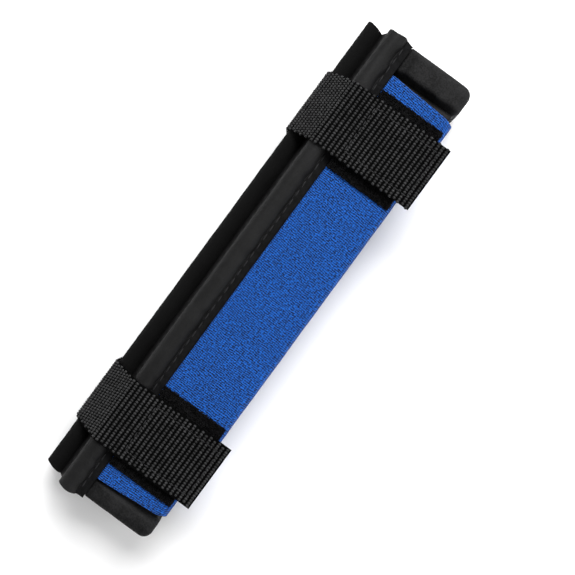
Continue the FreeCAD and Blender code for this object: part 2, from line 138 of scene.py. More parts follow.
class Finish:
    """One material, built on a Principled surface."""

    def __init__(self, name, **constants):
        self.material = bpy.data.materials.new(name)
        self.material.use_nodes = True
        self.nodes = self.material.node_tree.nodes
        self.links = self.material.node_tree.links
        self.surface = self.nodes["Principled BSDF"]
        for socket, constant in constants.items():
            label = socket.replace("_", " ").title().replace("Ior", "IOR")
            self.surface.inputs[label].default_value = constant

    def node(self, kind, settings=None, inputs=None, output=0):
        """Adds a node: its settings first, then the values or links of its sockets."""
        node = self.nodes.new(kind)
        for key, setting in (settings or {}).items():
            setattr(node, key, setting)
        for key, given in (inputs or {}).items():
            self.feed(node.inputs[key], given)
        return Wire(self, node.outputs[output])

    def feed(self, socket, given):
        if isinstance(given, Wire):
            self.links.new(given.socket, socket)
        else:
            socket.default_value = given

    def place(self):
        return self.node("ShaderNodeTexCoord", output="Object")

    def cloth_place(self):
        """Where a point lies on the flat cut, in millimetres."""
        return self.node("ShaderNodeUVMap", {"uv_map": "cut"})

    def axes(self, place):
        """The first two coordinates of a place."""
        parts = self.node("ShaderNodeSeparateXYZ", None, {0: place}).socket.node.outputs
        return Wire(self, parts["X"]), Wire(self, parts["Y"])

    def noise(self, place, scale, detail=2.0, rough=0.5):
        return self.node(
            "ShaderNodeTexNoise", None,
            {"Vector": place, "Scale": scale, "Detail": detail, "Roughness": rough},
        )

    def cells(self, place, scale, feature="F1"):
        return self.node(
            "ShaderNodeTexVoronoi", {"feature": feature}, {"Vector": place, "Scale": scale},
        )

    def stretched(self, place, scale):
        return self.node("ShaderNodeMapping", None, {"Vector": place, "Scale": scale})

    def mix(self, factor, first, second):
        return self.node(
            "ShaderNodeMix", {"data_type": "RGBA"}, {0: factor, 6: first, 7: second}, output=2,
        )

    def colour(self, given):
        self.feed(self.surface.inputs["Base Color"], given)

    def roughness(self, given):
        self.feed(self.surface.inputs["Roughness"], given)

    def bump(self, height, distance, strength=1.0):
        normal = self.node(
            "ShaderNodeBump", None,
            {"Height": height, "Distance": distance, "Strength": strength},
            output="Normal",
        )
        self.feed(self.surface.inputs["Normal"], normal)


def shade(colour, factor):
    """The same colour, lighter or darker, with its alpha."""
    return (colour[0] * factor, colour[1] * factor, colour[2] * factor, 1.0)


def finishes():
    """The materials by name, made once."""
    return {name: bpy.data.materials.get(name) or make() for name, make in FINISH_MAKERS.items()}


def blue_jersey():
    """Fine knitted nylon, laminated on neoprene: close rows with loops across them."""
    look = bpy.context.scene.swing_trainer_look
    finish = Finish("blue_jersey", sheen_weight=0.08, sheen_roughness=0.5, specular_ior_level=0.15)
    place = finish.cloth_place()
    along, up = finish.axes(place)
    drift = finish.noise(place, 0.22, 3.0, 0.6) * 1.5
    rows = ((up + along * 0.045 + drift * 0.9) * (2 * math.pi / look.knit_row)).sine()
    loops = ((along + drift * 0.5) * (2 * math.pi / look.knit_loop)).sine()
    knit = rows * 0.55 + loops * 0.28
    streaks = finish.noise(finish.stretched(place, (1.05, 2.15, 1.0)), 1.0, 1.3, 0.6)
    mottle = finish.noise(place, 0.09, 2.0)
    tone = (streaks * 1.05 + mottle * 0.08 + knit * 0.22).ramp(0.3, 0.83)
    finish.colour(finish.mix(tone, shade(look.jersey, 0.12), shade(look.jersey, 1.95)))
    finish.roughness(0.72 + streaks * 0.16)
    finish.bump(knit * 0.8 + streaks * 1.8, 0.0003, 1.0)
    return finish.material


def neoprene_core():
    """The black foamed rubber seen on a cut edge."""
    finish = Finish("neoprene_core", specular_ior_level=0.2)
    place = finish.place()
    bubbles = finish.cells(place, 2600.0)
    finish.colour(finish.mix(bubbles, (0.006, 0.006, 0.008, 1), (0.022, 0.022, 0.025, 1)))
    finish.roughness(0.86 - finish.noise(place, 900.0) * 0.1)
    finish.bump(bubbles, 0.00015, 0.6)
    return finish.material


def leathercloth():
    """Black polyurethane leathercloth: a tight pebble grain that creases and shines a little."""
    look = bpy.context.scene.swing_trainer_look
    finish = Finish("leathercloth", specular_ior_level=0.13)
    place = finish.place()
    pebbles = finish.cells(place, 2300.0, "SMOOTH_F1")
    grain = finish.noise(place, 1500.0, 3.0, 0.6)
    wear = finish.noise(place, 75.0, 4.0, 0.62)
    creases = finish.noise(finish.stretched(place, (330.0, 95.0, 330.0)), 1.0, 4.0, 0.6)
    across, _ = finish.axes(finish.cloth_place())
    # The outer sleeve, up to about 22 mm along the cut, is coloured far darker than the inner one. This
    # is painted shade, because it lies lower, in the inner sleeve's shadow. It is also made rougher.
    inner_sleeve = across.ramp(22.0, 27.5)
    tone = (wear * 0.7 + grain * 0.3).ramp(0.3, 0.72)
    inner_sleeve_tone = finish.mix(tone, shade(look.cover, 0.7), shade(look.cover, 1.4))
    outer_sleeve_painted_shade = finish.mix(tone, shade(look.cover, 0.12), shade(look.cover, 0.4))
    finish.colour(finish.mix(inner_sleeve, outer_sleeve_painted_shade, inner_sleeve_tone))
    finish.roughness(0.84 - inner_sleeve * 0.36 + wear * 0.14 + grain * 0.05)
    finish.bump(pebbles * -0.35 + grain * 0.3 + creases * 2.2 + wear * 1.6, 0.00024, 0.85)
    return finish.material


def lining_fabric():
    """The woven polyester back of the leathercloth."""
    look = bpy.context.scene.swing_trainer_look
    finish = Finish("lining_fabric", specular_ior_level=0.18)
    place = finish.cloth_place()
    along, up = finish.axes(place)
    pitch = 2 * math.pi / 0.42
    weave = ((along + up) * pitch).sine() * 0.5 + ((along - up) * pitch).sine() * 0.5
    tone = (weave * 0.25 + finish.noise(place, 0.4, 3.0)).ramp(0.15, 0.9)
    finish.colour(finish.mix(tone, shade(look.cover, 0.5), shade(look.cover, 1.3)))
    finish.roughness(0.66 + finish.noise(place, 1.4) * 0.16)
    finish.bump(weave, 0.00008, 0.7)
    return finish.material


def pad_foam():
    """Closed-cell foam with a moulded skin: nearly even, with tiny pits."""
    look = bpy.context.scene.swing_trainer_look
    finish = Finish("pad_foam", specular_ior_level=0.1)
    place = finish.place()
    pits = finish.cells(place, 1900.0)
    cloud = finish.noise(place, 110.0, 4.0, 0.6)
    scuffs = finish.noise(place, 420.0, 3.0, 0.6)
    tone = (cloud * 0.45 + scuffs * 0.3 + pits * 0.25).ramp(0.3, 0.66)
    finish.colour(finish.mix(tone, shade(look.foam, 0.3), shade(look.foam, 1.75)))
    finish.roughness(0.6 + cloud * 0.2)
    finish.bump(pits * 0.45 + cloud * 1.1 + scuffs * 0.7, 0.00018, 0.7)
    return finish.material


def yarn(name, colour, low, high, roughness, shine):
    """Spun or filament yarn whose strands catch the light unevenly."""
    finish = Finish(name, specular_ior_level=shine)
    place = finish.place()
    strands = finish.noise(finish.stretched(place, (900.0, 4200.0, 900.0)), 1.0, 2.0)
    patches = finish.noise(place, 620.0, 2.0)
    dust = finish.noise(place, 60.0, 2.0)
    tone = (strands * 0.35 + patches * 0.5 + dust * 0.15).ramp(0.3, 0.7)
    finish.colour(finish.mix(tone, shade(colour, low), shade(colour, high)))
    finish.roughness(roughness + patches * 0.18)
    finish.bump(strands, 0.00012, 0.7)
    return finish.material


def webbing_yarn():
    look = bpy.context.scene.swing_trainer_look
    return yarn("webbing_yarn", look.webbing, 0.25, 2.1, 0.46, 0.2)


# The ground cloth is the same yarn as the beads, coloured far darker: painted shade in the gaps between
# the beads.
def painted_shade_webbing_ground():
    look = bpy.context.scene.swing_trainer_look
    return yarn("painted_shade_webbing_ground", look.webbing, 0.04, 0.12, 0.8, 0.02)


def sewing_thread():
    return yarn("sewing_thread", (0.0125, 0.0125, 0.0135), 0.5, 1.5, 0.55, 0.2)


# The strip along the flap's free edge is the sleeves' own cloth, coloured darker than the rest: painted
# shade where it lies low beside the inner sleeve.
def seam_strip_painted_shade():
    return yarn("seam_strip_painted_shade", (0.0042, 0.0042, 0.0045), 0.4, 1.6, 0.75, 0.08)


def loop_pile():
    return yarn("loop_pile", (0.0028, 0.0027, 0.0029), 0.2, 2.4, 0.8, 0.05)


def hook_nylon():
    return yarn("hook_nylon", (0.014, 0.014, 0.016), 0.7, 1.4, 0.34, 0.4)


def rod_steel():
    """Cold-drawn bar: bright, with fine drawing lines along it."""
    finish = Finish("rod_steel", metallic=1.0)
    place = finish.place()
    lines = finish.noise(finish.stretched(place, (5200.0, 60.0, 5200.0)), 1.0, 3.0)
    stain = finish.noise(place, 130.0, 4.0)
    finish.colour(finish.mix(stain, (0.36, 0.355, 0.35, 1), (0.6, 0.6, 0.61, 1)))
    finish.roughness(0.2 + lines * 0.18 + stain * 0.1)
    finish.bump(lines, 0.00003, 0.5)
    return finish.material


def moulded_rubber(name, colour, ridge):
    """Moulded rubber with a dusty bloom, and faint ridges along the club."""
    finish = Finish(name, specular_ior_level=0.3)
    place = finish.place()
    bloom = finish.noise(place, 240.0, 4.0, 0.6)
    _, along = finish.axes(place)
    ridges = (along * (2 * math.pi / ridge)).sine()
    finish.colour(finish.mix(bloom.ramp(0.3, 0.75), shade(colour, 0.7), shade(colour, 1.5)))
    finish.roughness(0.56 + bloom * 0.24)
    finish.bump(ridges * 0.5 + bloom * 0.6, 0.00012, 0.7)
    return finish.material


def moulded_grip():
    return moulded_rubber("moulded_grip", (0.016, 0.016, 0.017), 0.0022)


def moulded_plug():
    return moulded_rubber("moulded_plug", (0.012, 0.012, 0.012), 0.0007)


FINISH_MAKERS = {
    "blue_jersey": blue_jersey,
    "neoprene_core": neoprene_core,
    "leathercloth": leathercloth,
    "lining_fabric": lining_fabric,
    "pad_foam": pad_foam,
    "webbing_yarn": webbing_yarn,
    "painted_shade_webbing_ground": painted_shade_webbing_ground,
    "sewing_thread": sewing_thread,
    "seam_strip_painted_shade": seam_strip_painted_shade,
    "loop_pile": loop_pile,
    "hook_nylon": hook_nylon,
    "rod_steel": rod_steel,
    "moulded_grip": moulded_grip,
    "moulded_plug": moulded_plug,
}


def give(piece, *names):
    """Puts these finishes in the piece's material slots."""
    ready = finishes()
    piece.data.materials.clear()
    for name in names:
        piece.data.materials.append(ready[name])


# ------------------------------------------------------------------ bench work

def work_on(*pieces):
    bpy.ops.object.select_all(action="DESELECT")
    for piece in pieces:
        piece.select_set(True)
    if pieces:
        bpy.context.view_layer.objects.active = pieces[0]


def settle(piece, name):
    """Names a new primitive and puts its place, turn and scale into its mesh."""
    piece.name = name
    piece.data.name = name
    work_on(piece)
    bpy.ops.object.transform_apply(location=True, rotation=True, scale=True)
    return piece


def add_modifier(piece, kind, **settings):
    """Adds a modifier with these settings and applies it."""
    modifier = piece.modifiers.new(kind.lower(), kind)
    for key, setting in settings.items():
        setattr(modifier, key, setting)
    work_on(piece)
    bpy.ops.object.modifier_apply(modifier=modifier.name)
    return piece


def repeat(piece, count, offset):
    """Lays count copies in a row, each at this offset from the last, as one mesh."""
    return add_modifier(
        piece, "ARRAY", count=count, use_relative_offset=False,
        use_constant_offset=True, constant_offset_displace=offset,
    )


def move(piece, offset):
    work_on(piece)
    bpy.ops.transform.translate(value=offset)
    bpy.ops.object.transform_apply(location=True, rotation=True, scale=True)
    return piece


def copy_of(piece, name, offset=(0, 0, 0)):
    """A copy with its own mesh, moved by offset."""
    work_on(piece)
    bpy.ops.object.duplicate(linked=False)
    return move(settle(bpy.context.object, name), offset)


def join(name, *pieces):
    work_on(*pieces)
    bpy.ops.object.join()
    return settle(bpy.context.object, name)


def drop(piece):
    bpy.data.objects.remove(piece)


def smooth(piece, angle=40.0):
    work_on(piece)
    bpy.ops.object.shade_smooth_by_angle(angle=math.radians(angle))
    return piece


def reshape(piece, rule):
    """Moves every point of the mesh to where rule says."""
    for vertex in piece.data.vertices:
        vertex.co = rule(vertex.co.copy())
    piece.data.update()
    return piece


def open_up(piece):
    """Goes into edit mode with every point of the piece selected."""
    work_on(piece)
    bpy.ops.object.mode_set(mode="EDIT")
    bpy.ops.mesh.select_mode(type="VERT")
    bpy.ops.mesh.select_all(action="SELECT")


def close_up():
    bpy.ops.object.mode_set(mode="OBJECT")


def open_faces(piece, test):
    """Goes into edit mode with only the faces selected for which test is true."""
    open_up(piece)
    bpy.ops.mesh.select_mode(type="FACE")
    bpy.ops.mesh.select_all(action="DESELECT")
    close_up()
    for face in piece.data.polygons:
        face.select = test(face)
    bpy.ops.object.mode_set(mode="EDIT")


def roughen(piece, offset, seed, uniform=0.6):
    """Shifts the points a little at random, as hand-made or hairy things are."""
    open_up(piece)
    bpy.ops.transform.vertex_random(offset=offset, uniform=uniform, normal=0.0, seed=seed)
    close_up()
    return piece


def soften(piece, size, strength, name):
    """Gives a soft surface its slow rises and hollows."""
    texture = bpy.data.textures.new(name, "CLOUDS")
    texture.noise_scale = size
    texture.noise_depth = 2
    add_modifier(piece, "DISPLACE", texture=texture, strength=strength, mid_level=0.5)
    bpy.data.textures.remove(texture)
    return piece


def step_up(value, low, high):
    """0 below low, 1 above high and smooth in between."""
    share = min(max((value - low) / (high - low), 0.0), 1.0)
    return share * share * (3 - 2 * share)


def bump_at(value, middle, reach):
    """1 at middle, fading to 0 at reach away from it."""
    return 1.0 - step_up(abs(value - middle), 0.0, reach)


def on_circle(centre, radius, degrees):
    angle = math.radians(degrees)
    return (centre[0] + radius * math.cos(angle), centre[1] + radius * math.sin(angle))


def draw_path(start, *moves):
    """Draws a bending line across the club, from points (x, z): a straight run to each point
    and an arc for each (centre, degrees), anticlockwise as seen from the club's lower end.
    Returns the curve and its length."""
    work_on()
    bpy.ops.mesh.primitive_plane_add(size=MM, location=(start[0], start[1], 0.0))
    open_up(settle(bpy.context.object, "path"))
    bpy.ops.mesh.merge(type="CENTER")
    here, length = Vector(start), 0.0
    for first, second in moves:
        if isinstance(first, tuple):
            centre, turn = Vector(first), math.radians(second)
            bpy.ops.mesh.spin(
                steps=max(2, math.ceil(abs(second) / 6.0)), angle=turn,
                center=(centre.x, centre.y, 0.0), axis=(0, 0, -1),
            )
            spoke = here - centre
            length += abs(turn) * spoke.length
            spoke.rotate(Matrix.Rotation(turn, 2))
            here = centre + spoke
        else:
            run = Vector((first, second)) - here
            bpy.ops.mesh.extrude_region_move(TRANSFORM_OT_translate={"value": (run.x, run.y, 0.0)})
            length += run.length
            here = here + run
    close_up()
    bpy.ops.object.convert(target="CURVE")
    path = bpy.context.object
    path.data.dimensions = "2D"
    path.rotation_euler = (math.pi / 2, 0.0, 0.0)
    bpy.context.view_layer.update()
    return path, length


def bend_along(piece, path):
    """Bends a piece that lies flat from x = 0 round the path, and removes the path."""
    add_modifier(piece, "CURVE", object=path, deform_axis="POS_X")
    drop(path)
    return piece


def flat_cut(name, width, low, high, cell_x, cell_y):
    """A flat cut of cloth from x = 0 to width and from y = low to high, with its cut map."""
    work_on()
    bpy.ops.mesh.primitive_grid_add(
        x_subdivisions=round(width / cell_x), y_subdivisions=round((high - low) / cell_y), size=1.0,
    )
    bpy.ops.transform.resize(value=(width, high - low, 1.0))
    bpy.ops.transform.translate(value=(width / 2, (low + high) / 2, 0.0))
    return map_cut(settle(bpy.context.object, name))


def map_cut(piece):
    """Writes where each corner lies on the flat cut, in millimetres, as the map called cut."""
    cut = piece.data.uv_layers.active or piece.data.uv_layers.new()
    cut.name = "cut"
    cut = piece.data.uv_layers["cut"]
    for corner in piece.data.loops:
        place = piece.data.vertices[corner.vertex_index].co
        cut.data[corner.index].uv = (place.x / MM, place.y / MM)
    return piece


# ------------------------------------------------------------------ sizes and colours

class SwingTrainerSizes(bpy.types.PropertyGroup):
    rib_pitch: FloatProperty(
        name="Rib pitch", description="Distance from rib to rib along the webbing",
        default=1.71 * MM, min=0.5 * MM, max=5 * MM, precision=5, unit="LENGTH",
    )
    bead_spacing: FloatProperty(
        name="Bead spacing", description="Distance from yarn to yarn across the webbing",
        default=1.0 * MM, min=0.5 * MM, max=4 * MM, precision=5, unit="LENGTH",
    )
    stitch_pitch: FloatProperty(
        name="Stitch pitch", description="Distance from stitch to stitch along the sleeve seam",
        default=3.72 * MM, min=1 * MM, max=8 * MM, precision=5, unit="LENGTH",
    )
    neoprene_thickness: FloatProperty(
        name="Neoprene thickness", description="Thickness of the wrap",
        default=2.1 * MM, min=1 * MM, max=4 * MM, precision=5, unit="LENGTH",
    )
    foam_cell: FloatProperty(
        name="Foam mesh size", description="Size of the faces on the foam pads",
        default=0.7 * MM, min=0.4 * MM, max=3 * MM, precision=5, unit="LENGTH",
    )
    pile_pitch: FloatProperty(
        name="Pile pitch", description="Distance between the tufts of the loop tape",
        default=0.62 * MM, min=0.3 * MM, max=3 * MM, precision=5, unit="LENGTH",
    )
    hook_rows: IntProperty(
        name="Hook rows", description="Rows of hooks across a hook tab", default=14, min=4, max=40,
    )
    camera_height: FloatProperty(
        name="Camera height", description="Height of the camera over the floor",
        default=365.4 * MM, min=0.1, max=3.0, unit="LENGTH",
    )


class SwingTrainerLook(bpy.types.PropertyGroup):
    jersey: FloatVectorProperty(
        name="Jersey", description="Colour of the knitted face of the wrap",
        default=(0.0040, 0.0565, 0.262), subtype="COLOR", min=0.0, max=1.0,
    )
    cover: FloatVectorProperty(
        name="Leathercloth", description="Colour of the sleeves that hold the rods",
        default=(0.0064, 0.0064, 0.0066), subtype="COLOR", min=0.0, max=1.0,
    )
    foam: FloatVectorProperty(
        name="Foam", description="Colour of the foam pads",
        default=(0.008, 0.008, 0.0083), subtype="COLOR", min=0.0, max=1.0,
    )
    webbing: FloatVectorProperty(
        name="Webbing", description="Colour of the straps' yarn",
        default=(0.0155, 0.0155, 0.016), subtype="COLOR", min=0.0, max=1.0,
    )
    knit_row: FloatProperty(
        name="Knit row", description="Height of a knitted row, in millimetres",
        default=0.72, min=0.2, max=3.0,
    )
    knit_loop: FloatProperty(
        name="Knit loop", description="Width of a knitted loop, in millimetres",
        default=0.85, min=0.2, max=3.0,
    )


# ------------------------------------------------------------------ the pieces

def trench(place):
    """The wrap's ends lie in a groove that runs along the foot of each end block."""
    if place.z > PRESSED_ABOVE:
        shallower = 0.45 * step_up(place.x, 4 * MM, 20 * MM)
        upper = UPPER_GROOVE_DEPTH * bump_at(place.y, UPPER_GROOVE_Y, GROOVE_REACH)
        lower = LOWER_GROOVE_DEPTH * bump_at(place.y, LOWER_GROOVE_Y, GROOVE_REACH)
        place.z -= upper * (1.0 - shallower) + lower
    return place


class SWINGTRAINER_OT_pads(bpy.types.Operator):
    """Makes the two foam pads that close round the club's shaft."""
    bl_idname = "swing_trainer.pads"
    bl_label = "Foam pads"

    def execute(self, context):
        for node, body in (("rear_pad", "rear_half"), ("front_pad", "front_half")):
            pad = copy_of(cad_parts[node], f"{node}_soft")
            open_up(pad)
            bpy.ops.mesh.remove_doubles(threshold=0.01 * MM)
            close_up()
            cell = context.scene.swing_trainer_sizes.foam_cell
            add_modifier(pad, "REMESH", mode="VOXEL", voxel_size=cell, adaptivity=0.0)
            add_modifier(pad, "SMOOTH", factor=0.5, iterations=3)
            if node == "front_pad":
                reshape(pad, trench)
            soften(pad, 14 * MM, 0.28 * MM, "foam_rise")
            soften(pad, 3.5 * MM, 0.1 * MM, "foam_skin")
            smooth(pad, 60)
            give(pad, "pad_foam")
            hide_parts(node)
            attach(pad, body)
        return {"FINISHED"}


class SWINGTRAINER_OT_wrap(bpy.types.Operator):
    """Folds the neoprene wrap round both pads from one flat cut."""
    bl_idname = "swing_trainer.wrap"
    bl_label = "Neoprene wrap"

    def execute(self, context):
        thickness = context.scene.swing_trainer_sizes.neoprene_thickness
        front_low, front_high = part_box("neoprene_front")
        back_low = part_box("neoprene_back")[0]
        half, bend = thickness / 2, 0.5 * MM + thickness / 2
        front_z, back_z = front_high[2] - half, back_low[2] + half
        corner_x = front_high[0] - half - bend
        path, width = draw_path(
            (front_low[0], front_z),
            (corner_x, front_z), ((corner_x, front_z - bend), -90.0),
            (corner_x + bend, back_z + bend), ((corner_x, back_z + bend), -90.0),
            (back_low[0], back_z),
        )
        low, high = front_low[1], front_high[1]
        wrap = flat_cut("neoprene_wrap", width, low, high, 0.6 * MM, 2.0 * MM)
        front_width = corner_x - front_low[0]
        end_y = 85.0 * MM
        upper_slant, lower_slant = 0.019, 0.027

        def trim(place):
            """The ends are cut at a slight slant on the front, as a hand-cut wrap is."""
            slant = step_up(place.x, -0.3 * front_width, 1.35 * front_width)
            place.y *= 1 - (upper_slant if place.y > 0 else lower_slant) * slant
            at_fold = bump_at(place.x, front_width + 3.0 * MM, 5.0 * MM)
            drawn_in = at_fold * step_up(abs(place.y), 40 * MM, end_y)
            place.y -= math.copysign(0.9 * MM, place.y) * drawn_in
            return place

        reshape(wrap, trim)
        bend_along(wrap, path)
        soften(wrap, 11 * MM, 0.3 * MM, "wrap_rise")
        give(wrap, "blue_jersey", "neoprene_core")
        add_modifier(
            wrap, "SOLIDIFY", thickness=thickness, offset=0.0,
            material_offset_rim=1, use_even_offset=True,
        )
        add_modifier(
            wrap, "BEVEL", width=0.35 * MM, segments=2, limit_method="ANGLE",
            angle_limit=math.radians(60), material=0,
        )
        smooth(wrap, 50)
        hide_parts("neoprene_front", "neoprene_back")
        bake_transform(wrap)
        return {"FINISHED"}


def cover_ends(place):
    """The open ends of the sleeves are cut by hand and not quite level."""
    end = 1 if place.y > 0 else -1
    near_end = step_up(abs(place.y), 70 * MM, 95.7 * MM)
    across = place.x / MM
    if end > 0:
        waves, notch = 0.35 * math.sin(across * 0.9 + 0.6), 1.1 * bump_at(across, -17.2, 3.2)
        shorter = 0.7 + waves + notch
    else:
        waves, notch = 0.25 * math.sin(across * 0.7), 1.15 * bump_at(across, -22.5, 6.0)
        shorter = 0.1 + waves + notch
    place.y -= end * shorter * near_end * MM
    return place


def pucker(place):
    """The seam pulls the sleeve in at each stitch. The side of the inner sleeve wrinkles
    a little all along, more near the lower end and most near the upper end."""
    along = place.y / MM
    pitch = bpy.context.scene.swing_trainer_sizes.stitch_pitch / MM
    seam = bump_at(place.x, SEAM_STITCH_X, 2.4 * MM)
    pull = 0.11 * math.cos(2 * math.pi * along / pitch)
    place.z += seam * pull * MM
    flank = bump_at(place.x, -9.6 * MM, 2.6 * MM) * step_up(place.z, 22 * MM, 25 * MM)
    height = 0.10 + 0.10 * math.sin(along * 0.21)
    wrinkle = math.sin(along * 0.95 + 1.2 * math.sin(along * 0.37)) * height
    top = step_up(along, 70.0, 84.0) * (1.0 - 0.4 * step_up(along, 90.0, 96.0))
    deep = math.sin(along * 0.62 + 0.5) * 0.36 * top
    foot = step_up(-along, 84.0, 92.0) * math.sin(along * 0.9) * 0.22
    place.x += flank * (wrinkle + deep + foot) * MM
    place.z -= flank * (0.4 * abs(wrinkle) + 0.5 * abs(deep)) * MM
    return place


class SWINGTRAINER_OT_rod_sleeves(bpy.types.Operator):
    """Makes the leathercloth cover and its lining, sewn together round the two rods."""
    bl_idname = "swing_trainer.rod_sleeves"
    bl_label = "Rod sleeves"

    def execute(self, context):
        low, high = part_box("flap_cover")
        tail_z, tail_bend = 0.9 * MM, 0.8 * MM
        meet_inner = on_circle(INNER_ROD, ROD_SPACE, WEB_IN)
        path, width = draw_path(
            (PANEL_X, 2.5 * MM),
            (PANEL_X, OUTER_ROD[1]), (OUTER_ROD, WEB_OUT - 180),
            meet_inner, (INNER_ROD, -WEB_IN),
            (SEAM_RIGHT, INNER_ROD[1]),
        )
        cover = flat_cut("flap_cover_cloth", width, low[1], high[1], 0.45 * MM, 0.95 * MM)
        bend_along(cover, path)
        self.sew(cover, "leathercloth", 1.0)
        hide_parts("flap_cover")

        meet_outer = on_circle(OUTER_ROD, ROD_SPACE, 240)
        path, width = draw_path(
            (-20.6 * MM, tail_z),
            (PANEL_X + tail_bend, tail_z), ((PANEL_X + tail_bend, tail_z + tail_bend), -90.0),
            (PANEL_X, 9.6 * MM), meet_outer, (OUTER_ROD, 120 + WEB_OUT),
            meet_inner, (INNER_ROD, 360 - WEB_IN),
            (SEAM_RIGHT, INNER_ROD[1]),
        )
        lining = flat_cut("flap_lining_cloth", width, low[1], high[1], 0.45 * MM, 1.4 * MM)
        bend_along(lining, path)
        self.sew(lining, "lining_fabric", -1.0)
        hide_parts("flap_lining")
        for layer in (cover, lining):
            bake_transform(layer)
        return {"FINISHED"}

    def sew(self, layer, finish, side):
        reshape(layer, cover_ends)
        if side > 0:
            reshape(layer, pucker)
            soften(layer, 9 * MM, 0.22 * MM, "sleeve_rise")
        give(layer, finish, "seam_strip_painted_shade")
        add_modifier(layer, "SOLIDIFY", thickness=SLEEVE_WALL, offset=side, use_even_offset=False)
        smooth(layer, 75)
        # Faces on the strip along the free edge get its darker colour: painted shade.
        for face in layer.data.polygons:
            if face.center.x > SEAM_STRIP_LEFT:
                face.material_index = 1


class SWINGTRAINER_OT_rods(bpy.types.Operator):
    """Finishes the steel rods and makes the rubber plugs at their ends."""
    bl_idname = "swing_trainer.rods"
    bl_label = "Rods and plugs"

    def execute(self, context):
        for rod, centre in (("outer", OUTER_ROD), ("inner", INNER_ROD)):
            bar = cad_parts[f"{rod}_weight_rod"]
            give(bar, "rod_steel")
            for side, end in (("upper", 1), ("lower", -1)):
                node = f"{rod}_rod_{side}_plug"
                work_on()
                bpy.ops.mesh.primitive_cylinder_add(
                    vertices=48, radius=PLUG_RADIUS, depth=PLUG_DEPTH,
                    location=(centre[0], end * (ROD_END + PLUG_DEPTH / 2), centre[1]),
                    rotation=(math.pi / 2, 0, 0),
                )
                plug = settle(bpy.context.object, f"{node}_rubber")
                self.dish(plug, end)
                add_modifier(plug, "BEVEL", width=0.35 * MM, segments=3, limit_method="ANGLE")
                smooth(plug, 35)
                give(plug, "moulded_plug")
                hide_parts(node)
                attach(plug, "rod_flap")
        return {"FINISHED"}

    def dish(self, plug, end):
        """Sinks the middle of the plug's outer face, leaving a rim."""
        open_faces(plug, lambda face: face.normal.y * end > 0.9)
        bpy.ops.mesh.inset(thickness=0.8 * MM)
        bpy.ops.mesh.inset(thickness=0.25 * MM, depth=-0.4 * MM)
        close_up()


class SWINGTRAINER_OT_grip_liners(bpy.types.Operator):
    """Finishes the two rubber liners that grip the shaft."""
    bl_idname = "swing_trainer.grip_liners"
    bl_label = "Grip liners"

    def execute(self, context):
        for node in ("front_grip_liner", "rear_grip_liner"):
            give(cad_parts[node], "moulded_grip")
        return {"FINISHED"}


def weave(name, length, low_y, high_y, first_rib):
    """A flat length of ribbed webbing: a ground cloth with raised beads of yarn on both faces."""
    sizes = bpy.context.scene.swing_trainer_sizes
    pitch, spacing = sizes.rib_pitch, sizes.bead_spacing
    width = high_y - low_y
    across = int(width / spacing)
    margin = (width - (across - 1) * spacing) / 2
    work_on()
    bpy.ops.mesh.primitive_uv_sphere_add(segments=8, ring_count=4, radius=0.5)
    bpy.ops.transform.resize(value=BEAD_SIZE)
    bead = settle(bpy.context.object, f"{name}_beads")
    move(bead, (first_rib, low_y + margin, 0.0))
    even = copy_of(bead, f"{name}_even", (pitch, spacing / 2, 0.0))
    ribs = int((length - first_rib + 0.35 * pitch) / pitch) + 1
    for rows, yarns, count in ((bead, across, (ribs + 1) // 2), (even, across - 1, ribs // 2)):
        repeat(rows, yarns, (0, spacing, 0))
        repeat(rows, count, (2 * pitch, 0, 0))
    give(bead, "webbing_yarn")
    give(even, "webbing_yarn")
    beads = join(f"{name}_beads", bead, even)
    roughen(beads, 0.07 * MM, 11)
    edge = 0.25 * MM
    ground = flat_cut(f"{name}_ground", length, low_y + edge, high_y - edge, pitch / 4, 1.2 * MM)
    # The ground's near-black colour is painted shade between the beads.
    give(ground, "painted_shade_webbing_ground")
    add_modifier(ground, "SOLIDIFY", thickness=0.36 * MM, offset=0.0)
    return beads, ground


def press_in(beads, lines):
    """Presses the beads down along each stitch line (x0, y0, x1, y1)."""
    def rule(place):
        depth = 0.0
        for x0, y0, x1, y1 in lines:
            run = Vector((x1 - x0, y1 - y0))
            reach = Vector((place.x - x0, place.y - y0))
            share = min(max(reach.dot(run) / run.length_squared, 0.0), 1.0)
            gap = (reach - run * share).length
            depth = max(depth, 1.0 - step_up(gap, 0.25 * MM, 0.95 * MM))
        place.z *= 1.0 - 0.5 * depth
        return place
    return reshape(beads, rule)


def stitch_line(name, x0, y0, x1, y1, pitch, lift, thickness=0.42 * MM):
    """A row of thread stitches on a flat piece, from one point to the other."""
    run = Vector((x1 - x0, y1 - y0))
    count = max(1, round(run.length / pitch))
    step = run / count
    work_on()
    bpy.ops.mesh.primitive_uv_sphere_add(
        segments=8, ring_count=8, radius=0.5, rotation=(0, math.pi / 2, 0),
    )
    stitch = settle(bpy.context.object, name)
    bpy.ops.transform.resize(value=(step.length * STITCH_FILL, thickness, thickness * 0.8))
    bpy.ops.object.transform_apply(location=True, rotation=True, scale=True)
    stitch.rotation_euler = (0, 0, math.atan2(step.y, step.x) + 0.05)
    settle(stitch, name)
    move(stitch, (x0 + step.x / 2, y0 + step.y / 2, lift))
    repeat(stitch, count, (step.x, step.y, 0))
    give(stitch, "sewing_thread")
    return stitch


